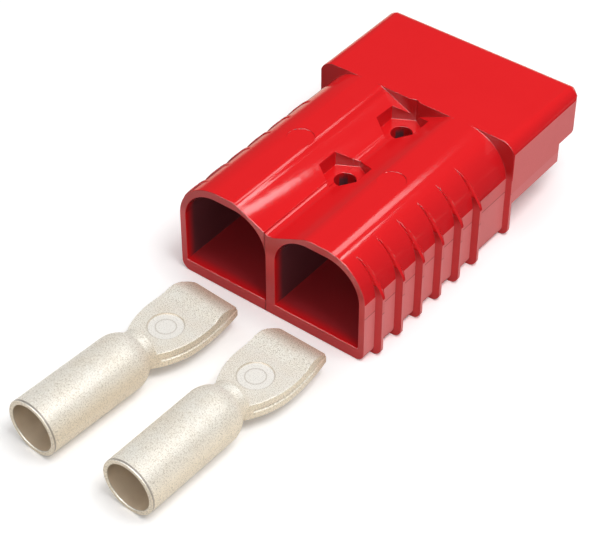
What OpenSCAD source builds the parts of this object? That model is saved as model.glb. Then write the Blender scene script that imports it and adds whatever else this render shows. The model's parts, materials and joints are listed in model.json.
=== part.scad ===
// Two-pole genderless power connector: a moulded housing, its two retention
// springs and two crimp contacts that lie in front of the cable openings.
// Millimetres, +Z up, +Y towards the mating end. The origin is on the base face,
// midway between the two screw holes.

/* [Cable half] */
// Width of the cable half, without its grip ribs
body_w = 64.8; // [60:0.2:72]
// Length of the cable half, from the cable face to the hood
body_l = 68.3; // [66:0.5:84]
// Height of the housing
body_h = 33.9; // [32:0.1:38]
// Radius of the long top shoulders
shoulder_r = 14; // [10:0.5:14]
// Radius of the long bottom edges
base_r = 3; // [1:0.5:4]
// Distance from the centre line to the inner edge of each lobe's flat crest
crest_x = 13.8; // [12:0.1:16]
// Radius over that edge
lobe_r = 6; // [3:0.5:12]
// Radius along the bottom of the valley between the lobes
valley_r = 4; // [2:0.5:8]
// Slope of the valley's flanks, in degrees
valley_slope = 25.4; // [16:0.2:27]

/* [Cable openings] */
// Wall between the two cable openings
centre_wall = 3.2; // [2:0.1:5]
// Wall outside each cable opening
side_wall = 2.1; // [1.6:0.1:3]
// Wall over each cable opening
top_wall = 2.7; // [2:0.1:4]
// Floor under each cable opening
floor_wall = 4; // [3:0.1:5]
// Radius of each opening's arch
arch_r = 11.3; // [8:0.1:12]
// Depth of the wide part that takes the cable's insulation
entry_l = 28; // [20:0.5:30]

/* [Grip ribs] */
// Number of grip ribs on each side
rib_count = 6; // [4:1:6]
// Distance from the cable face to the first rib
rib_start = 4.7; // [2:0.1:8]
// Spacing of the ribs
rib_pitch = 9.33; // [8:0.01:10]
// Flat top of a rib, along the housing
rib_land = 1; // [0.5:0.1:2]
// Run of the slope behind a rib's flat top
rib_slope_l = 3; // [1.5:0.1:4]
// Width over the grip ribs
rib_w = 69.6; // [67:0.1:72]
// Height of a rib's corner, where its arc over the shoulder starts
rib_corner_z = 21.5; // [20:0.5:23]
// Radius of that arc
rib_arc_r = 20; // [18:0.5:22]
// How far a rib's top stays under the housing's top
rib_drop = 0.9; // [0.5:0.05:1.2]
// How far the arcs over the shoulders would pass over the housing's top
rib_arc_over = 0.4; // [0.2:0.1:0.8]
// How far inside the housing's side a rib's slope ends
rib_root = 0.3; // [0.1:0.1:0.6]

/* [Screw holes] */
// Screw hole diameter
screw_d = 6.4; // [4:0.1:7]
// Distance between the two screw holes
screw_pitch = 27.4; // [20:0.1:32]
// Distance from the cable face to the first screw hole
screw_y = 34.4; // [33:0.1:36]
// Width of the nut recess across its flats
nut_af = 12.7; // [10:0.1:13]
// Height of the nut recess's floor
nut_floor_z = 26.2; // [25:0.1:27]

/* [Moulding marks] */
// Diameter of the round mark on each lobe
mark_d = 8.2; // [4:0.1:10]
// Depth of the round mark
mark_depth = 0.3; // [0.1:0.05:0.5]

/* [Mating hood] */
// Width of the hood
hood_w = 69; // [66:0.1:78]
// Length of the hood
hood_l = 37.3; // [36:0.1:44]
// Radius of the hood's upright front corners
hood_corner_r = 5; // [4:0.1:6]
// How far in from the side and from the front the hood's top starts to curve down
edge_run = 5.2; // [3:0.1:6]
// How far in from the corners it starts to curve down
corner_run = 4.4; // [3:0.1:5]
// Height of those curves, down to the crease over the hood's upright faces
edge_drop = 3.7; // [2:0.1:4]
// Thickness of the hood's side walls
hood_wall = 3.8; // [2.5:0.1:5]
// Thickness of the hood's roof
roof_wall = 3.6; // [2.5:0.1:5]
// Depth of the hood's open mouth
mouth_l = 12.4; // [12:0.1:16]
// Height of the lower edge of the hood's cheeks
cheek_z = 12; // [10:0.1:14]
// Height of the cheeks' lower edge ahead of their step
step_z = 18.5; // [18:0.1:20]
// Length of the cheeks' step
step_l = 11.3; // [8:0.1:12]

/* [Tongues] */
// Distance from the hood's inner wall to a tongue
tongue_gap = 2.4; // [1.5:0.1:3]
// Gap between the two tongues
tongue_slot = 5.2; // [4.6:0.1:6]
// How far the tongues stay behind the hood's front
tongue_back = 2; // [1:0.1:4]
// Height of the tongues' underside
tongue_z = 4; // [3.8:0.1:5]
// How far the tongues stay below the plane where two mated blades meet
tongue_low = 0.4; // [0.2:0.1:0.8]
// Thickness of a tongue under its spring
tongue_floor = 2.6; // [2:0.1:3]
// Height and width of the coding ribs
key_size = 1.6; // [1:0.1:2]

/* [Contacts] */
// Overall length of a contact
contact_l = 69.6; // [66:0.1:72]
// Outside diameter of the crimp barrel
barrel_d = 17; // [15:0.1:18]
// Diameter of the crimp barrel's bore
bore_d = 14.2; // [10:0.1:14.4]
// Depth of the crimp barrel's bore
bore_l = 31; // [24:0.5:32]
// Length of the barrel's straight part
barrel_l = 31.5; // [30:0.5:33]
// Length of the rounded shoulder behind it
turn_l = 5.5; // [5:0.1:7]
// Diameter of the neck
neck_d = 12; // [10:0.1:13]
// Distance from the barrel's straight part to the blade's root
neck_l = 8.5; // [8:0.1:10]
// Length of the ridge where the neck ends on the blade
ridge_l = 1.6; // [1:0.1:2]
// How far the ridge falls off towards the blade
ridge_drop = 4; // [3:0.1:5]
// Greatest width of the blade
blade_w = 19.8; // [18:0.1:20.4]
// Distance from the blade's root to its widest place
blade_swell_l = 13.5; // [12:0.5:15]
// Width of the blade at its root
blade_root_w = 12; // [10:0.1:13]
// Width of the blade at its tip
blade_tip_w = 16; // [14:0.1:18]
// Thickness of the blade, both layers
blade_t = 5.2; // [4:0.1:6]
// Thickness of the blade's tip
tip_t = 2.9; // [2:0.1:3.5]
// Height of the blade's flat face over the barrel's axis
blade_rise = 1.2; // [0.5:0.1:2]
// Height of the hump over the blade's flat face
hump_h = 1.2; // [0.5:0.1:1.5]
// Distance from the blade's end to the hump's crest
hump_back = 7.1; // [6:0.1:8]
// Length of the rise up to the crest
hump_rise_l = 5.5; // [4:0.1:6]
// How far the tip drops below the blade's flat face
tip_drop = 2.4; // [1:0.1:3]
// Diameter of the stamped disc on the blade
disc_d = 10.4; // [6:0.1:11]
// Distance from the blade's widest place back to the disc's centre
disc_back = 4; // [3:0.1:5]
// Height of the seam between the blade's layers
seam_h = 0.8; // [0.4:0.1:1.2]
// Depth of the seam and of the stamped disc
stamp_depth = 0.3; // [0.1:0.05:0.5]

/* [Springs] */
// Width of a retention spring
spring_w = 14; // [8:0.5:16]
// Thickness of a retention spring
spring_t = 0.8; // [0.6:0.1:1.2]
// How far a spring stands up above the blade's seat when no contact is in
spring_free = 0.8; // [0.2:0.1:1.2]
// Rise of a spring's turned-up end
spring_lip = 1.6; // [1:0.1:2]
// Distance from the cell's wall to a spring
spring_start = 3; // [2:0.1:4]
// Distance from a spring's end to the tongue's end
spring_back = 1.5; // [1:0.1:2]

/* [Loose contacts] */
// Gap between the contacts' tips and the cable face
loose_gap = 9.2; // [5:0.1:30]
// Sideways shift of the left and the right contact from their cells
loose_shift = [0, 1.2]; // [-3:0.1:3]
// Turn of the left and the right contact on the ground, in degrees
loose_turn = [3.6, 1.4]; // [-6:0.1:6]

/* [Fits] */
// Clearance round a contact in its cell, each side
cell_fit = 0.5; // [0.3:0.05:0.8]
// How far a seated contact's tip stays behind the hood's front
tip_back = 0.5; // [0.2:0.1:1]
// Distance from the barrel's straight part to the wall its shoulder rests on
seat_l = 4.5; // [4:0.1:5]

/* [Hidden] */
$fn = 96;
cut = 1;                                    // how far a cut runs past a face
total_l = body_l + hood_l;
mid_z = body_h / 2;                         // the plane where two mated blades meet
datum_y = screw_y + screw_pitch / 2;        // the origin, from the cable face
entry_w = (body_w - centre_wall) / 2 - side_wall;
pole_x = (centre_wall + entry_w) / 2;       // centre of each cell
valley_run = crest_x - (lobe_r + valley_r) * sin(valley_slope);
lobe_drop = lobe_r * (1 - cos(valley_slope));
valley_rise = valley_r * (1 - cos(valley_slope));
valley_z = body_h - lobe_drop - valley_run * tan(valley_slope) - valley_rise;
rib_l = rib_land + rib_slope_l;
hood_in_w = hood_w - 2 * hood_wall;
mouth_y = total_l - mouth_l;                // back wall of the hood's mouth
step_y = total_l - step_l;
tongue_x = hood_in_w / 2 - tongue_gap;      // outer side of the tongues
tongue_end = total_l - tongue_back;
spring_floor = tongue_z + tongue_floor;
tongue_top = mid_z - tongue_low;
cell_w = blade_w + 2 * cell_fit;
axis_z = mid_z - blade_rise;                // a seated contact's barrel axis
tip_y = total_l - tip_back;                 // a seated contact's tip
web_y = tip_y - contact_l + barrel_l + seat_l;  // the wall a barrel's shoulder rests on
blade_l0 = barrel_l + neck_l;               // blade root, from the barrel's mouth
blade_mid = blade_l0 + blade_swell_l;       // where the blade is widest
hump_l = contact_l - hump_back;             // crest of the hump
tab_share = 0.08;                           // of a spring's length, its flat tab
lip_share = 0.12;                           // and its turned-up end
bow_share = 1 - tab_share - lip_share;

// Moves a piece from the cable face's frame to the part's own origin
module at_datum() {
    translate([0, -datum_y, 0]) children();
}

// Stands a profile drawn in x and z up, and runs it along +Y from y0 to y1
module run_y(y0, y1) {
    translate([0, y1, 0]) rotate([90, 0, 0]) linear_extrude(y1 - y0) children();
}

// A block from z0 up to h with rounded top corners, as an x and z profile
module round_top(w, z0, h, r) {
    translate([-w / 2, z0]) square([w, h - r - z0]);
    translate([-w / 2 + r, z0]) square([w - 2 * r, h - z0]);
    for (side = [-1, 1]) translate([side * (w / 2 - r), h - r]) circle(r);
}

// The same with rounded bottom corners
module round_both(w, h, top_r, bottom_r) {
    round_top(w, bottom_r, h, top_r);
    translate([-w / 2 + bottom_r, 0]) square([w - 2 * bottom_r, bottom_r + 1]);
    for (side = [-1, 1]) translate([side * (w / 2 - bottom_r), bottom_r]) circle(bottom_r);
}

// What is cut away over the valley: two lobe arcs, two straight flanks and a round bottom
module valley_profile() {
    x1 = crest_x - lobe_r * sin(valley_slope);
    x2 = valley_r * sin(valley_slope);
    difference() {
        translate([-crest_x, valley_z]) square([2 * crest_x, body_h - valley_z + cut]);
        for (side = [-1, 1]) {
            translate([side * crest_x, body_h - lobe_r]) circle(lobe_r);
            polygon([
                [side * x1, body_h - lobe_drop],
                [side * x2, valley_z + valley_rise],
                [side * x2, 0],
                [side * crest_x, 0],
                [side * crest_x, body_h - lobe_drop]
            ]);
        }
        difference() {
            translate([-x2, 0]) square([2 * x2, valley_z + valley_rise]);
            translate([0, valley_z + valley_r]) circle(valley_r);
        }
    }
}

// One pair of grip ribs w wide: a flat land, then a slope back to the body on each side.
// Over the shoulders each follows an arc that dives into the lobe.
module rib(y, w) {
    top = body_h - rib_drop;
    arc_z = body_h + rib_arc_over - rib_arc_r;
    arc_x = w / 2 - sqrt(pow(rib_arc_r, 2) - pow(rib_corner_z - arc_z, 2));
    back_x = body_w / 2 - rib_root;
    back_r = rib_arc_r - (w / 2 - back_x);
    intersection() {
        linear_extrude(top) polygon([
            [-w / 2, y], [w / 2, y], [w / 2, y + rib_land],
            [back_x, y + rib_l], [-back_x, y + rib_l], [-w / 2, y + rib_land]
        ]);
        run_y(y - cut, y + rib_l + cut) round_both(w, top + cut, cut, base_r);
        union() {
            translate([-w / 2, y - cut, 0]) cube([w, rib_l + 2 * cut, rib_corner_z]);
            for (side = [-1, 1]) translate([side * arc_x, y, arc_z]) rotate([-90, 0, 0]) {
                cylinder(h = rib_land, r = rib_arc_r);
                translate([0, 0, rib_land])
                    cylinder(h = rib_slope_l, r1 = rib_arc_r, r2 = back_r);
            }
        }
    }
}

// What is cut off along a top edge, drawn with the sharp edge at its origin: the top
// curves down over run and meets the upright face at a crease, edge_drop lower
module edge_profile(run) {
    r = (run * run + edge_drop * edge_drop) / (2 * edge_drop);
    difference() {
        translate([-run, -edge_drop]) square([run + cut, edge_drop + cut]);
        translate([-run, -r]) circle(r, $fn = 160);
    }
}

// The hood's outer block, its top curved down to the sides, the front and both corners
module hood_block() {
    r = hood_corner_r;
    w = hood_w;
    difference() {
        union() {
            translate([-w / 2, body_l, step_z]) cube([w, hood_l - r, body_h - step_z]);
            translate([-w / 2 + r, body_l, step_z]) cube([w - 2 * r, hood_l, body_h - step_z]);
            for (side = [-1, 1])
                translate([side * (w / 2 - r), total_l - r, step_z]) cylinder(h = body_h - step_z, r = r);
        }
        for (side = [0, 1]) mirror([side, 0, 0]) {
            run_y(body_l - cut, total_l + cut) translate([w / 2, body_h]) edge_profile(edge_run);
            translate([w / 2 - r, total_l - r, 0]) rotate([0, 0, 45])
                run_y(-2 * r, 2 * r) translate([r, body_h]) edge_profile(corner_run);
        }
        translate([-w / 2 - cut, total_l, body_h]) rotate([90, 0, 90])
            linear_extrude(w + 2 * cut) edge_profile(edge_run);
    }
    run_y(body_l, step_y)
        translate([-w / 2, cheek_z]) square([w, step_z - cheek_z + 1]);
}

// The two tongues that carry the springs and the blades
module tongues() {
    translate([-tongue_x, body_l, tongue_z])
        cube([2 * tongue_x, step_y - body_l, cheek_z - tongue_z + 1]);
    for (side = [-1, 1]) {
        x0 = side > 0 ? tongue_slot / 2 : -tongue_x;
        translate([x0, mouth_y - 1, tongue_z])
            cube([tongue_x - tongue_slot / 2, tongue_end - mouth_y + 1, tongue_top - tongue_z]);
    }
}

// The wide D-shaped opening that takes the cable, as an x and z profile
module entry_profile() {
    translate([0, floor_wall]) round_top(entry_w, 0, body_h - top_wall - floor_wall, arch_r);
}

// The round room for the crimp barrel, with side slots that let the blade through
module barrel_profile() {
    translate([0, axis_z]) circle(barrel_d / 2 + cell_fit);
    translate([-cell_w / 2, mid_z - blade_t - cell_fit])
        square([cell_w, blade_t + hump_h + 2 * cell_fit]);
}

// Everything hollow in one cell, from the cable face to the end of its tongue
module cell_cut() {
    run_y(-cut, entry_l) entry_profile();
    run_y(entry_l - cut, web_y) barrel_profile();
    run_y(web_y - cut, mouth_y + cut)
        translate([-cell_w / 2, spring_floor])
            square([cell_w, mid_z + hump_h + cell_fit - spring_floor]);
    run_y(mouth_y, total_l + cut)
        translate([-cell_w / 2, spring_floor]) square([cell_w, mid_z - spring_floor]);
}

// The hood's mouth, on both sides of the centre wall
module mouth_cut() {
    for (side = [-1, 1]) {
        w = (hood_in_w - centre_wall) / 2;
        x0 = side > 0 ? centre_wall / 2 : -hood_in_w / 2;
        translate([x0, mouth_y, tongue_top])
            cube([w, mouth_l + cut, body_h - roof_wall - tongue_top]);
    }
    translate([-hood_in_w / 2, mouth_y, tongue_top])
        cube([hood_in_w, mouth_l + cut, step_z - tongue_top]);
}

// Two ribs that let only housings of the same coding mate
module coding_ribs() {
    translate([-hood_in_w / 2, mouth_y - 1, body_h - roof_wall - 3 * key_size])
        cube([key_size, mouth_l - 1, key_size]);
    translate([-tongue_x - key_size, mouth_y - 1, tongue_z + 1.5 * key_size])
        cube([key_size + 1, tongue_end - mouth_y - 1, key_size]);
}

module screw_cut(y) {
    translate([0, y, -cut]) cylinder(h = nut_floor_z + 2 * cut, d = screw_d);
    translate([0, y, nut_floor_z]) rotate([0, 0, 30])
        cylinder(h = body_h, d = nut_af / cos(30), $fn = 6);
}

module housing() {
    color([0.90, 0.11, 0.14]) at_datum() {
        difference() {
            union() {
                run_y(0, body_l + rib_l) round_both(body_w, body_h, shoulder_r, base_r);
                for (i = [0:rib_count - 1]) rib(rib_start + i * rib_pitch, rib_w);
                rib(body_l, hood_w);
                hood_block();
                tongues();
            }
            run_y(-cut, body_l) valley_profile();
            for (side = [-1, 1]) {
                translate([side * pole_x, 0, 0]) cell_cut();
                translate([side * pole_x, screw_y, body_h - mark_depth])
                    cylinder(h = cut, d = mark_d);
            }
            mouth_cut();
            for (i = [0, 1]) screw_cut(screw_y + i * screw_pitch);
        }
        coding_ribs();
    }
}

// Half the blade's width at l: a fuller arc from the root, a flatter one to the tip
function blade_half(l) =
    let (
        run = l < blade_mid ? blade_mid - blade_l0 : contact_l - blade_mid,
        drop = (blade_w - (l < blade_mid ? blade_root_w : blade_tip_w)) / 2,
        r = (run * run + drop * drop) / (2 * drop)
    )
    blade_w / 2 - r + sqrt(r * r - pow(l - blade_mid, 2));

// The blade's outline from above, drawn in by inset
module blade_outline(inset = 0) {
    l0 = blade_l0 - 3;
    steps = 22;
    ls = [for (i = [0:steps]) l0 + i * (contact_l - l0) / steps];
    polygon(concat(
        [for (l = ls) [blade_half(l) - inset, min(l, contact_l - inset)]],
        [for (i = [steps:-1:0]) [inset - blade_half(ls[i]), min(ls[i], contact_l - inset)]]
    ));
}

// Height of the blade's upper face over its flat part, along the contact
function blade_top(l) =
    let (l0 = hump_l - hump_rise_l)
    l < l0 ? 0 :
    l < hump_l ? hump_h * (1 - cos(180 * (l - l0) / hump_rise_l)) / 2 :
    hump_h - (hump_h + tip_drop) * pow((l - hump_l) / hump_back, 1.5);

// The blade seen from its side, in length and height over its own flat face
module blade_side() {
    steps = 14;
    l0 = hump_l - hump_rise_l;
    root_l = blade_l0 - ridge_drop;
    ls = [for (i = [0:steps]) l0 + i * (contact_l - l0) / steps];
    polygon(concat(
        [[root_l, -blade_t], [root_l, 0]],
        [for (l = ls) [l, blade_top(l)]],
        [[contact_l + cut, -tip_drop], [contact_l + cut, -tip_drop - tip_t], [hump_l, -blade_t]]
    ));
}

// One crimp contact with its barrel's mouth at y = 0 and its axis on the y axis
module contact() {
    barrel_r = barrel_d / 2;
    neck_r = neck_d / 2;
    difference() {
        union() {
            rotate([-90, 0, 0]) rotate_extrude() {
                square([barrel_r, barrel_l]);
                intersection() {
                    translate([0, barrel_l]) circle(barrel_r);
                    translate([0, barrel_l - 1]) square([barrel_r, turn_l + 1]);
                }
                square([neck_r, blade_l0]);
                polygon([
                    [0, blade_l0 - 1], [neck_r, blade_l0],
                    [neck_r - ridge_drop, blade_l0 + ridge_l], [0, blade_l0 + ridge_l]
                ]);
            }
            intersection() {
                translate([0, 0, -barrel_d]) linear_extrude(2 * barrel_d) blade_outline();
                translate([-blade_w, 0, blade_rise]) rotate([90, 0, 90])
                    linear_extrude(2 * blade_w) blade_side();
            }
        }
        rotate([-90, 0, 0]) translate([0, 0, -cut]) cylinder(h = bore_l + cut, d = bore_d);
        translate([0, blade_mid - disc_back, blade_rise - stamp_depth])
            cylinder(h = blade_t, d = disc_d);
        translate([0, 0, blade_rise - (blade_t + seam_h) / 2]) linear_extrude(seam_h) difference() {
            translate([-blade_w, blade_l0 + 1]) square([2 * blade_w, contact_l]);
            blade_outline(stamp_depth * 2);
        }
    }
}

// A contact as it lies on the ground in front of its cable opening
module loose_contact(i) {
    side = 2 * i - 1;
    x = side * pole_x + loose_shift[i];
    color([0.86, 0.84, 0.78]) at_datum()
        translate([x, -loose_gap - contact_l, barrel_d / 2])
            rotate([0, 0, -loose_turn[i]]) contact();
}

module contact_left() { loose_contact(0); }
module contact_right() { loose_contact(1); }

// Height of a spring's underside over its floor: a tab, a bow and a turned-up end
function spring_z(t) =
    let (bow = mid_z - blade_t + spring_free - spring_floor)
    t < tab_share ? 0 :
    t < 1 - lip_share ? bow * (1 - cos(360 * (t - tab_share) / bow_share)) / 2 :
    spring_lip * (t - 1 + lip_share) / lip_share;

// A leaf spring on the floor of its cell
module spring(side) {
    y0 = web_y + spring_start;
    y1 = tongue_end - spring_back;
    ts = [for (t = [0:0.04:1.001]) t];
    color([0.75, 0.76, 0.78]) at_datum()
        translate([side * pole_x - spring_w / 2, 0, spring_floor]) rotate([90, 0, 90])
            linear_extrude(spring_w) polygon(concat(
                [for (t = ts) [y0 + t * (y1 - y0), spring_z(t)]],
                [for (i = [len(ts) - 1:-1:0]) [y0 + ts[i] * (y1 - y0), spring_z(ts[i]) + spring_t]]
            ));
}

module spring_left() { spring(-1); }
module spring_right() { spring(1); }

housing();
contact_left();
contact_right();
spring_left();
spring_right();
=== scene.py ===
import bmesh
import bpy
from math import atan2, copysign, degrees, radians
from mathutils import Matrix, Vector
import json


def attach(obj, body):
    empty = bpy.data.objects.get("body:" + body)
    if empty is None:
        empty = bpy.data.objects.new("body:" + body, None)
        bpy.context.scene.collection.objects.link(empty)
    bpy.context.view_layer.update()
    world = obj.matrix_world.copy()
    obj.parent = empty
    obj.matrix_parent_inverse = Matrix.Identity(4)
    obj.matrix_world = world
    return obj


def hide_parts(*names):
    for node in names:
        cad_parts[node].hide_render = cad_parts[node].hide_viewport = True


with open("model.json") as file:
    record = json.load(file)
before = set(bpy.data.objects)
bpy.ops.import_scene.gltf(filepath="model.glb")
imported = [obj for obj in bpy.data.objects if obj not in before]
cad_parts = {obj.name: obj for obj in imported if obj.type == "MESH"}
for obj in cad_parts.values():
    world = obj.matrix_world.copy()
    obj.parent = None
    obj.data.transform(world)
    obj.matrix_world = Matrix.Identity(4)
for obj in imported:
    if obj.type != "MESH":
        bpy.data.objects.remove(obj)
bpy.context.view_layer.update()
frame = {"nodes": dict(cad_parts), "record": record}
scene = bpy.context.scene

# Camera: a long lens from the front right, looking down on the cable openings.
camera_data = bpy.data.cameras.new("camera")
camera_data.sensor_width = 36
camera_data.lens = 113.1
camera_data.clip_start = 0.01
camera = bpy.data.objects.new("camera", camera_data)
camera.location = (0.24355, -0.34887, 0.36225)
camera.rotation_euler = (radians(90 - 41.92), 0, radians(37.77))
scene.collection.objects.link(camera)
scene.camera = camera
scene.view_settings.view_transform = "Standard"

# Floor: a wide sheet of white paper. It is clear white to the camera, and greyer in the
# light that it gives back. Mirrors see it dark beside the connector, white in front of the
# cable end and warm behind the hood, which keeps the shoulders clean and lights far edges.
MM = 0.001
FLOOR_HALF = 3                               # half of the sheet's side, in metres
PAPER_SEEN = (1.0, 0.995, 0.995, 1)
PAPER_GIVES = (0.85, 0.84, 0.83, 1)
PAPER_THROUGH = (0.9, 0.9, 0.9, 1)
MIRRORED_BESIDE = (0.07, 0.065, 0.065, 1)
MIRRORED_BEHIND = (0.95, 0.80, 0.66, 1)
MIRRORED_IN_FRONT = (0.90, 0.88, 0.84, 1)


def new_material(name):
    """A node material; returns it with its tree and its Principled node."""
    material = bpy.data.materials.new(name)
    material.use_nodes = True
    tree = material.node_tree
    return material, tree, tree.nodes["Principled BSDF"]


def add_node(tree, kind, inputs=None, **settings):
    """A node of that kind, with its settings and its inputs set or linked."""
    node = tree.nodes.new(kind)
    for key, value in settings.items():
        setattr(node, key, value)
    for key, value in (inputs or {}).items():
        if isinstance(value, bpy.types.NodeSocket):
            tree.links.new(value, node.inputs[key])
        else:
            node.inputs[key].default_value = value
    return node


def split(tree, vector):
    """The X, Y and Z of a vector, by name."""
    return add_node(tree, "ShaderNodeSeparateXYZ", {0: vector}).outputs


def math_node(tree, operation, a, b=0.0):
    """The result of one math node."""
    return add_node(tree, "ShaderNodeMath", {0: a, 1: b}, operation=operation).outputs[0]


def mix_color(tree, factor, a, b):
    """The colour socket of a mix of a and b."""
    return add_node(tree, "ShaderNodeMix", {0: factor, 6: a, 7: b}, data_type="RGBA").outputs[2]


def smooth_step(tree, value, low, high):
    """0 under low, 1 over high, or the other way round where high is under low."""
    if high < low:
        ends = {"From Min": high, "From Max": low, "To Min": 1.0, "To Max": 0.0}
    else:
        ends = {"From Min": low, "From Max": high}
    return add_node(tree, "ShaderNodeMapRange", {"Value": value, **ends},
                    interpolation_type="SMOOTHSTEP").outputs["Result"]


paper, tree, principled = new_material("white_paper")
ray = add_node(tree, "ShaderNodeLightPath").outputs
place = split(tree, add_node(tree, "ShaderNodeTexCoord").outputs["Object"])
far_along = math_node(tree, "SUBTRACT", place["Y"], math_node(tree, "MULTIPLY", place["X"], 0.8))
behind = smooth_step(tree, far_along, 60 * MM, 130 * MM)
in_front = smooth_step(tree, place["Y"], -45 * MM, -65 * MM)
mirrored = mix_color(tree, behind, MIRRORED_BESIDE, MIRRORED_BEHIND)
mirrored = mix_color(tree, in_front, mirrored, MIRRORED_IN_FRONT)
white = mix_color(tree, ray["Is Glossy Ray"], PAPER_GIVES, mirrored)
white = mix_color(tree, ray["Is Camera Ray"], white, PAPER_SEEN)
white = mix_color(tree, ray["Is Transmission Ray"], white, PAPER_THROUGH)
tree.links.new(white, principled.inputs["Base Color"])
tree.links.new(ray["Is Camera Ray"], principled.inputs["Emission Color"])
principled.inputs["Emission Strength"].default_value = 0.10
principled.inputs["Roughness"].default_value = 0.9
principled.inputs["Specular IOR Level"].default_value = 0

sheet = bmesh.new()
bmesh.ops.create_grid(sheet, x_segments=1, y_segments=1, size=FLOOR_HALF)
mesh = bpy.data.meshes.new("floor")
sheet.to_mesh(mesh)
sheet.free()
mesh.materials.append(paper)
floor = bpy.data.objects.new("floor", mesh)
scene.collection.objects.link(floor)

# Tent: white cloth all round, brightest overhead and dim towards the horizon. Mirrors see
# it much darker, so that the polished plastic mostly reflects the light boxes.
CLOTH_LOW = (0.28, 0.28, 0.28, 1)
CLOTH_HIGH = (1.2, 1.2, 1.2, 1)
CLOTH_MIRRORED = (0.20, 0.19, 0.18, 1)

world = bpy.data.worlds.new("tent")
world.use_nodes = True
tree = world.node_tree
ray = add_node(tree, "ShaderNodeLightPath").outputs
up = split(tree, add_node(tree, "ShaderNodeTexCoord").outputs["Generated"])["Z"]
cloth = mix_color(tree, smooth_step(tree, up, 0.05, 0.75), CLOTH_LOW, CLOTH_HIGH)
cloth = mix_color(tree, ray["Is Glossy Ray"], cloth, CLOTH_MIRRORED)
tree.links.new(cloth, tree.nodes["Background"].inputs["Color"])
tree.nodes["Background"].inputs["Strength"].default_value = 0.55
scene.world = world


# Light boxes, all turned towards the connector: two small ones far behind, for the bands on
# the lobes and in the valley, a wide one overhead, and a long low one in front, which is
# only mirrored and lights nothing, for the edges.
def add_light_box(name, place, width, height, watts):
    """A rectangular light at place, turned towards the middle of the scene."""
    data = bpy.data.lights.new(name, "AREA")
    data.shape = "RECTANGLE"
    data.size = width
    data.size_y = height
    data.energy = watts
    box = bpy.data.objects.new(name, data)
    box.location = place
    box.rotation_euler = (-Vector(place)).to_track_quat("-Z", "Y").to_euler()
    scene.collection.objects.link(box)
    return box


add_light_box("back_box", (-0.05, 0.45, 0.66), 0.12, 0.12, 0.20)
add_light_box("flank_box", (0.150, 0.425, 0.66), 0.05, 0.08, 0.11)
add_light_box("top_box", (0.35, -0.05, 0.8), 0.4, 0.4, 4.0)
front_box = add_light_box("front_box", (0.05, -0.55, 0.40), 0.9, 0.5, 15.0)
front_box.visible_diffuse = False

# Housing: one injection moulding in red plastic, with a room for each cable, grip ribs over
# its shoulders, nut recesses in the valley and a hood over the mating end. The mould leaves
# the top polished, the drafted sides matt, and a fine parting line along those sides.
LOBE_X, LOBE_Z, LOBE_R = 18.4, 19.9, 14      # axis and radius of each shoulder, in mm
ROOM_X, ROOM_Z = 16.0, 17.0                  # middle of each cable room, in mm
SCREW_Y, SCREW_R = 13.7, 3.0                 # screw holes, each way from the middle, in mm
SIDE_TOP, HOOD_SIDE_TOP = 21.0, 30.2         # tops of the matt sides, in mm
PARTING_Z = 16.0                             # height of the parting line, in mm
HOOD_Y = 20.5                                # where the hood starts, in mm
RIB_Y, RIB_PITCH = -43.4, 9.33               # front edge of the first grip rib, in mm
RIB_START = 0.28                             # how proud a rib is where it starts, in mm
HOUSING_EDGE = 0.25 * MM                     # radius of the plain edges
RED_CLOUDS = (0.755, 0.0105, 0.014, 1), (0.785, 0.0125, 0.016, 1)
# Painted shade on the shoulders, where they turn to the side.
RED_TURNING_SHADE = (0.50, 0.009, 0.014, 1)
# Painted shade on the steps that face the cable end.
RED_STEP_SHADE = (0.45, 0.008, 0.010, 1)
# Painted shade with a painted pale reflection of the white floor, on the low steps.
RED_LOW_STEP_SHADE_AND_REFLECTION = (0.62, 0.052, 0.054, 1)
# Painted shade inside the cable rooms and the screw holes.
RED_INSIDE_SHADE = (0.10, 0.045, 0.055, 1)
# The matt grain, paled by a painted reflection of the white floor.
MATT_GRAIN_AND_REFLECTION = (0.72, 0.145, 0.145, 1), (0.80, 0.190, 0.188, 1)
MATT_LOW = (1, 0.6, 0.6, 1)
PARTING_LINE = (0.30, 0.02, 0.02, 1)


def mix_value(tree, factor, a, b):
    """The value socket of a mix of the numbers or sockets a and b."""
    return add_node(tree, "ShaderNodeMix", {0: factor, 2: a, 3: b}).outputs[0]


def times(tree, first, *others):
    """The product of masks."""
    for other in others:
        first = math_node(tree, "MULTIPLY", first, other)
    return first


def opposite(tree, mask):
    """1 where the mask is 0, and 0 where it is 1."""
    return math_node(tree, "SUBTRACT", 1.0, mask)


def gap(tree, a, b):
    """How far apart two values are."""
    return math_node(tree, "ABSOLUTE", math_node(tree, "SUBTRACT", a, b))


def noise(tree, vector, scale, detail=3.0, roughness=0.5):
    """A noise field with features of about 1 / scale."""
    return add_node(tree, "ShaderNodeTexNoise", {"Vector": vector, "Scale": scale, "Detail": detail,
                                                 "Roughness": roughness}).outputs["Fac"]


def bump(tree, height, depth, strength=1.0, under=None):
    """A bumped normal on top of another one."""
    inputs = {"Height": height, "Distance": depth, "Strength": strength}
    if under is not None:
        inputs["Normal"] = under
    return add_node(tree, "ShaderNodeBump", inputs).outputs["Normal"]


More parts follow.
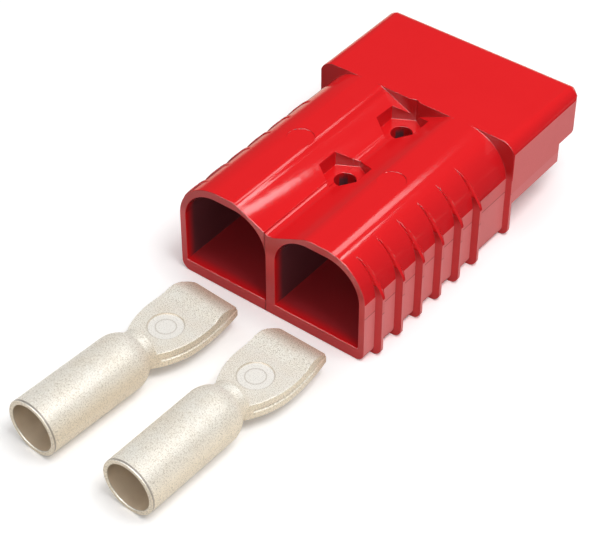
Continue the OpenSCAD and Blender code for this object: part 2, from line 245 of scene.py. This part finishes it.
def make_uneven_gloss():
    """The group that every surface of the connector uses: a grain, and a roughness that
    follows it from Smooth to Rough."""
    group = bpy.data.node_groups.new("uneven_gloss", "ShaderNodeTree")
    group.interface.new_socket("Vector", in_out="INPUT", socket_type="NodeSocketVector")
    for name in ("Scale", "Detail", "Fineness", "Smooth", "Rough"):
        group.interface.new_socket(name, in_out="INPUT", socket_type="NodeSocketFloat")
    for name in ("Grain", "Roughness"):
        group.interface.new_socket(name, in_out="OUTPUT", socket_type="NodeSocketFloat")
    given = group.nodes.new("NodeGroupInput").outputs
    result = group.nodes.new("NodeGroupOutput").inputs
    grain = noise(group, given["Vector"], given["Scale"], given["Detail"], given["Fineness"])
    group.links.new(grain, result["Grain"])
    group.links.new(mix_value(group, grain, given["Smooth"], given["Rough"]), result["Roughness"])
    return group


uneven_gloss = make_uneven_gloss()


def add_gloss(tree, vector, **values):
    """The grain and the roughness of an uneven surface, from the group's named inputs."""
    node = add_node(tree, "ShaderNodeGroup", {"Vector": vector, **values}, node_tree=uneven_gloss)
    return node.outputs["Grain"], node.outputs["Roughness"]


plastic, tree, principled = new_material("red_plastic")
coords = add_node(tree, "ShaderNodeTexCoord").outputs
spot = coords["Object"]
place = split(tree, spot)
facing = split(tree, coords["Normal"])
out_x = math_node(tree, "ABSOLUTE", place["X"])
facing_side = math_node(tree, "ABSOLUTE", facing["X"])
facing_cable = math_node(tree, "MULTIPLY", facing["Y"], -1.0)

# The matt sides: outermost faces below the shoulders, and up to the crease on the hood. Their
# pale pink is a painted reflection of the white floor over the matt grain.
on_hood = smooth_step(tree, place["Y"], (HOOD_Y - 0.1) * MM, (HOOD_Y + 0.1) * MM)
side_top = mix_value(tree, on_hood, SIDE_TOP * MM, HOOD_SIDE_TOP * MM)
over_top = math_node(tree, "SUBTRACT", place["Z"], side_top)
below_top = smooth_step(tree, over_top, 0.1 * MM, -0.1 * MM)
matt = times(tree, below_top, smooth_step(tree, facing_side, 0.6, 0.75),
             smooth_step(tree, out_x, 31.5 * MM, 31.9 * MM))

# The steps: faces towards the cable end, with painted shade that makes them darker than the top,
# apart from the ribs' starts. The low steps also get a painted pale reflection of the white floor.
rib_start = times(tree, smooth_step(tree, out_x, 18.0 * MM, 18.5 * MM),
                  smooth_step(tree, place["Y"], -47.0 * MM, -46.5 * MM),
                  smooth_step(tree, place["Y"], 19.5 * MM, 19.0 * MM),
                  smooth_step(tree, place["Z"], 24.5 * MM, 25.5 * MM))
step = times(tree, smooth_step(tree, facing_cable, 0.6, 0.8), opposite(tree, rib_start))
# Painted shade and a painted reflection of the white floor on the low steps.
low_step_shade_and_reflection = times(tree, step, smooth_step(tree, place["Z"], 24.0 * MM, 20.5 * MM))
# Painted shade: shoulder faces above the matt sides get darker as they turn to the side.
turning_shade = times(tree, smooth_step(tree, facing_side, 0.35, 1.0), opposite(tree, below_top))

# Painted shade inside: walls that face the middle of a cable room, and those of the screw holes,
# are darkened, less so on faces turned up.
outwards = math_node(tree, "MULTIPLY", facing["X"], math_node(tree, "SIGN", place["X"]))
inwards = math_node(
    tree, "ADD",
    times(tree, outwards, math_node(tree, "SUBTRACT", ROOM_X * MM, out_x)),
    times(tree, facing["Z"], math_node(tree, "SUBTRACT", ROOM_Z * MM, place["Z"])),
)
in_room = times(tree, smooth_step(tree, inwards, 0.3 * MM, 1.0 * MM),
                smooth_step(tree, place["Y"], -48.0 * MM, -44.0 * MM))
from_screw = gap(tree, math_node(tree, "ABSOLUTE", place["Y"]), SCREW_Y * MM)
in_hole = times(tree, smooth_step(tree, out_x, SCREW_R * MM, (SCREW_R - 0.1) * MM),
                smooth_step(tree, from_screw, SCREW_R * MM, (SCREW_R - 0.1) * MM),
                smooth_step(tree, place["Z"], 0.2 * MM, 1.0 * MM),
                smooth_step(tree, place["Z"], 26.0 * MM, 23.5 * MM))
inside = math_node(tree, "MAXIMUM", in_room, in_hole)
shade = mix_value(tree, smooth_step(tree, facing["Z"], 0.5, 0.8), 0.93, 0.45)

grain, rough = add_gloss(tree, spot, Scale=2600, Detail=2.0, Fineness=0.6, Smooth=0.08, Rough=0.13)
red = mix_color(tree, noise(tree, spot, scale=90), *RED_CLOUDS)
red = mix_color(tree, math_node(tree, "MULTIPLY", turning_shade, 0.6), red, RED_TURNING_SHADE)
red = mix_color(tree, step, red, RED_STEP_SHADE)
red = mix_color(tree, low_step_shade_and_reflection, red, RED_LOW_STEP_SHADE_AND_REFLECTION)
red = mix_color(tree, math_node(tree, "MULTIPLY", inside, shade), red, RED_INSIDE_SHADE)

below_line = smooth_step(tree, place["Z"], (PARTING_Z + 0.1) * MM, (PARTING_Z - 0.1) * MM)
from_line = gap(tree, place["Z"], PARTING_Z * MM)
line = times(tree, smooth_step(tree, from_line, 0.2 * MM, 0.1 * MM), opposite(tree, on_hood))
# Painted reflection: the matt sides' pale pink stands for the white floor that they mirror.
pale = mix_color(tree, grain, *MATT_GRAIN_AND_REFLECTION)
pale = mix_color(tree, math_node(tree, "MULTIPLY", below_line, 0.10), pale, MATT_LOW)
pale = mix_color(tree, math_node(tree, "MULTIPLY", line, 0.7), pale, PARTING_LINE)
tree.links.new(mix_color(tree, matt, red, pale), principled.inputs["Base Color"])

rough = mix_value(tree, step, rough, 0.28)
rough = mix_value(tree, inside, rough, 0.25)
tree.links.new(mix_value(tree, matt, rough, 0.5), principled.inputs["Roughness"])

# The surface: rounded edges, a slight crown along the valley's left flank, the ripple of a
# moulded face, and the grain of the matt sides.
crown_x = math_node(tree, "MULTIPLY_ADD", place["Y"], 0.093)
crown_x.node.inputs[2].default_value = -4.8 * MM
off_crown = math_node(tree, "SUBTRACT", place["X"], crown_x)
crown = times(tree, off_crown, off_crown, smooth_step(tree, out_x, 11.8 * MM, 9.8 * MM),
              smooth_step(tree, place["X"], -1.5 * MM, -2.0 * MM),
              smooth_step(tree, place["Y"], 20.1 * MM, 20.0 * MM))
rounded = add_node(tree, "ShaderNodeBevel", {"Radius": HOUSING_EDGE}, samples=6).outputs["Normal"]
surface = bump(tree, math_node(tree, "MULTIPLY", crown, -11.0), depth=1.0, under=rounded)
surface = bump(tree, noise(tree, spot, scale=260, detail=2.0), 0.06 * MM, 0.35, surface)
surface = bump(tree, math_node(tree, "MULTIPLY", grain, matt), 0.10 * MM, 0.5, surface)
tree.links.new(surface, principled.inputs["Normal"])


def corner_angle(face, vert):
    """The face's angle at that corner."""
    for loop in face.loops:
        if loop.vert is vert:
            return loop.calc_angle()


def can_be_broken(edge, sharp, width):
    """True if a bevel of that width runs out cleanly at both ends of the edge."""
    narrow, nearly_straight = radians(34), radians(150)
    for vert in edge.verts:
        if any(corner_angle(face, vert) < narrow for face in edge.link_faces):
            return False
        along = edge.other_vert(vert).co - vert.co
        for other in vert.link_edges:
            if other is edge:
                continue
            angle = along.angle(other.other_vert(vert).co - vert.co)
            short = other not in sharp and other.calc_length() < 1.6 * width
            if angle < narrow or short and angle < nearly_straight:
                return False
    return True


def break_edges(shape, width, stays_sharp):
    """Rounds the sharp edges of a merged CAD mesh, leaving out those too cramped for it, and
    brings back any corner that this pushes out of the mesh's own box."""
    sharp = {
        edge for edge in shape.edges
        if edge.calc_face_angle(0) > radians(28) and edge.calc_length() > 0.2 * MM
        and not stays_sharp(edge)
    }
    cramped = True
    while cramped:
        cramped = {edge for edge in sharp if not can_be_broken(edge, sharp, width)}
        sharp -= cramped
    edges = [edge for edge in shape.edges if edge in sharp]
    places = [vert.co.copy() for vert in shape.verts]
    bmesh.ops.bevel(shape, geom=edges, offset=width, offset_type="OFFSET", segments=4,
                    profile=0.5, affect="EDGES", clamp_overlap=False, material=-1)
    for axis in range(3):
        low = min(place[axis] for place in places)
        high = max(place[axis] for place in places)
        for vert in shape.verts:
            vert.co[axis] = min(max(vert.co[axis], low), high)


def dress_node(node, name, material, width, stays_sharp=lambda edge: False, reshape=None):
    """A copy of a CAD node with broken edges, smooth shading and that material."""
    mesh = frame["nodes"][node].data.copy()
    mesh.name = name
    mesh.materials.clear()
    mesh.materials.append(material)
    shape = bmesh.new()
    shape.from_mesh(mesh)
    bmesh.ops.remove_doubles(shape, verts=shape.verts, dist=0.001 * MM)
    bmesh.ops.dissolve_limit(shape, angle_limit=radians(1), verts=shape.verts, edges=shape.edges)
    if reshape:
        reshape(shape)
    break_edges(shape, width, stays_sharp)
    for face in shape.faces:
        face.smooth = True
    shape.to_mesh(mesh)
    shape.free()
    mesh.set_sharp_from_angle(angle=radians(24))
    piece = bpy.data.objects.new(name, mesh)
    scene.collection.objects.link(piece)
    weighted = piece.modifiers.new("normals", "WEIGHTED_NORMAL")
    weighted.keep_sharp = True
    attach(piece, "root")
    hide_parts(node)
    return piece


def is_inside_or_rib(edge):
    """True for an edge of the cable rooms or of a grip rib, which only the material rounds."""
    x, y, z = (edge.verts[0].co + edge.verts[1].co) / (2 * MM)
    in_block = abs(x) < 31 and 4.5 < z < 31.5 and -47.5 < y < 45
    in_recess = abs(x) < 6.5 and z > 26 and abs(y + 20.1) > 0.3
    over_shoulder = z > 21 and Vector((abs(x) - LOBE_X, z - LOBE_Z)).length > LOBE_R - 0.2
    on_rib = abs(x) > LOBE_X and -46 < y < 19 and (abs(x) > 32 or over_shoulder)
    return in_block and not in_recess or on_rib


def flatten_ribs(shape):
    """Brings the ribs' arcs closer to the shoulders, where a grip rib only starts to rise,
    and leans their front faces back there."""
    for vert in shape.verts:
        x, y, z = vert.co / MM
        side = Vector((abs(x) - LOBE_X, z - LOBE_Z))
        proud = side.length - LOBE_R
        if abs(x) > LOBE_X and z > 21.6 and -45 < y < 20 and proud > 0.02:
            turned = min(max((degrees(atan2(side.x, side.y)) - 55) / 25, 0), 1)
            proud = max(proud * (0.45 + 0.55 * turned), min(3 * proud, RIB_START))
            side *= (LOBE_R + proud) / side.length
            ribs_along = (y - RIB_Y) / RIB_PITCH
            if abs(ribs_along - round(ribs_along)) < 0.01:
                vert.co.y += min(proud, RIB_START) * (1 - turned) * MM
            vert.co.x = copysign(LOBE_X + side.x, x) * MM
            vert.co.z = (LOBE_Z + side.y) * MM


dress_node("housing", "housing_moulding", plastic, HOUSING_EDGE,
           is_inside_or_rib, flatten_ribs)

# Contacts: two copper tubes, each pressed flat at one end into a blade with a stamped disc,
# a hump and a bent-down tip. They lie loose in front of the cable openings. The silvering is
# cream with a grey speckle, painted brown shade on low sides and at the tip, tan in the barrels.
CONTACT_EDGE = 0.3 * MM                      # radius of the plain edges
DISC_Y, DISC_R, RING_R = 49.5, 5.2, 2.9      # stamped disc, from the barrel's mouth, in mm
TIP_FROM, TIP_TO = 60.5, 69                  # where the painted shade of the bent-down tip comes in, in mm
BORE_FROM, BORE_TO, BORE_R = 0.4, 31.2, 7.3  # just holds the faces of the bore, in mm
CREAM_PATCHES = (1.0, 0.92, 0.79, 1), (1.0, 1.0, 0.94, 1)
# Painted shade on the low sides.
CREAM_LOW_SHADE = (0.90, 0.78, 0.60, 1)
SPECKLE = (0.60, 0.52, 0.40, 1)
RIM = (0.22, 0.18, 0.15, 1)
# Painted shade on the bent-down tip.
TIP_SHADE = (0.72, 0.42, 0.26, 1)
DISC = (1, 0.98, 0.93, 1)
STAMPED_LINE = (0.5, 0.44, 0.36, 1)
BORE_STAINS = (0.72, 0.57, 0.40, 1), (0.90, 0.76, 0.58, 1)
BORE_SHADE = (0.26, 0.19, 0.12, 1)

silver, tree, principled = new_material("silvered_copper")
coords = add_node(tree, "ShaderNodeTexCoord").outputs
from_mouth = split(tree, coords["UV"])["Y"]
facing_up = split(tree, coords["Normal"])["Z"]
speckle, rough = add_gloss(tree, coords["Object"], Scale=3200, Detail=4.0, Fineness=0.75,
                           Smooth=0.16, Rough=0.42)
patches = noise(tree, coords["Object"], scale=160, roughness=0.55)
grey = times(tree, smooth_step(tree, speckle, 0.56, 0.40), mix_value(tree, patches, 0.95, 0.35))
rim = times(tree, smooth_step(tree, from_mouth, 0.1, 0.3), smooth_step(tree, from_mouth, 0.9, 0.6))
# Painted shade: browner from beyond the hump to the bent-down tip.
tip_shade = smooth_step(tree, from_mouth, TIP_FROM, TIP_TO)
centre = add_node(tree, "ShaderNodeCombineXYZ", {0: 0.0, 1: DISC_Y}).outputs[0]
from_centre = add_node(tree, "ShaderNodeVectorMath", {0: coords["UV"], 1: centre},
                       operation="DISTANCE").outputs["Value"]
disc = smooth_step(tree, from_centre, DISC_R, DISC_R - 0.2)
ring = smooth_step(tree, gap(tree, from_centre, RING_R), 0.25, 0.1)
outline = times(tree, smooth_step(tree, from_centre, DISC_R - 0.4, DISC_R - 0.2),
                smooth_step(tree, from_centre, DISC_R + 0.2, DISC_R))
stamped = math_node(tree, "MAXIMUM", ring, outline)

plating = mix_color(tree, patches, *CREAM_PATCHES)
# Painted shade: browner as the faces turn away from up.
plating = mix_color(tree, smooth_step(tree, facing_up, 0.85, 0.0), plating, CREAM_LOW_SHADE)
plating = mix_color(tree, grey, plating, SPECKLE)
plating = mix_color(tree, math_node(tree, "MULTIPLY", rim, 0.8), plating, RIM)
plating = mix_color(tree, math_node(tree, "MULTIPLY", tip_shade, 0.6), plating, TIP_SHADE)
plating = mix_color(tree, math_node(tree, "MULTIPLY", disc, 0.75), plating, DISC)
plating = mix_color(tree, math_node(tree, "MULTIPLY", stamped, 0.55), plating, STAMPED_LINE)
tree.links.new(plating, principled.inputs["Base Color"])
tree.links.new(rough, principled.inputs["Roughness"])
principled.inputs["Metallic"].default_value = 0.14
principled.inputs["Specular IOR Level"].default_value = 1.0
surface = bump(tree, speckle, 0.10 * MM, 0.8)
surface = bump(tree, stamped, 0.10 * MM, -0.5, surface)
tree.links.new(surface, principled.inputs["Normal"])

bore, tree, principled = new_material("barrel_bore")
coords = add_node(tree, "ShaderNodeTexCoord").outputs
spot = coords["Object"]
facing_up = split(tree, coords["Normal"])["Z"]
stains, rough = add_gloss(tree, spot, Scale=220, Detail=3.0, Fineness=0.5, Smooth=0.35, Rough=0.5)
tan = mix_color(tree, stains, *BORE_STAINS)
tan = mix_color(tree, smooth_step(tree, facing_up, 0.6, -0.7), tan, BORE_SHADE)
tree.links.new(tan, principled.inputs["Base Color"])
tree.links.new(rough, principled.inputs["Roughness"])
principled.inputs["Metallic"].default_value = 0.15
surface = bump(tree, noise(tree, spot, scale=900), 0.03 * MM, 0.4)
tree.links.new(surface, principled.inputs["Normal"])

for side in ("left", "right"):
    contact = dress_node(f"contact_{side}", f"crimp_contact_{side}", silver,
                         CONTACT_EDGE)
    mount = next(row for row in frame["record"]["mounts"] if row["name"] == f"{side}_barrel")
    mouth = Vector(mount["pos_m"])
    along = -Vector(mount["axis"])
    across = along.cross(Vector((0, 0, 1)))

    # The UV map gives the place in mm, across the contact and along it from its mouth.
    layer = contact.data.uv_layers.new(name="flat")
    for loop in contact.data.loops:
        offset = contact.data.vertices[loop.vertex_index].co - mouth
        layer.data[loop.index].uv = (offset.dot(across) / MM, offset.dot(along) / MM)
    contact.data.materials.append(bore)
    for face in contact.data.polygons:
        offset = face.center - mouth
        depth = offset.dot(along)
        from_axis = (offset - depth * along).length
        if BORE_FROM * MM < depth < BORE_TO * MM and from_axis < BORE_R * MM:
            face.material_index = 1

# Springs: two strips of stainless steel on the floors of the housing's cells, each seated by
# its flat tab. They are cut and bent from rolled strip, whose long fine lines still show.
SPRING_EDGE = 0.12 * MM                      # radius of the plain edges
STEEL_LINES = (0.48, 0.49, 0.51, 1), (0.70, 0.71, 0.73, 1)

steel, tree, principled = new_material("spring_strip")
spot = add_node(tree, "ShaderNodeTexCoord").outputs["Object"]
stretched = add_node(tree, "ShaderNodeMapping", {0: spot, "Scale": (4000, 60, 400)}).outputs[0]
lines, rough = add_gloss(tree, stretched, Scale=1.0, Detail=3.0, Fineness=0.5,
                         Smooth=0.22, Rough=0.42)
tree.links.new(mix_color(tree, lines, *STEEL_LINES), principled.inputs["Base Color"])
tree.links.new(rough, principled.inputs["Roughness"])
principled.inputs["Metallic"].default_value = 1
tree.links.new(bump(tree, lines, 0.02 * MM, 0.4), principled.inputs["Normal"])

for side in ("left", "right"):
    dress_node(f"spring_{side}", f"leaf_spring_{side}", steel, SPRING_EDGE)
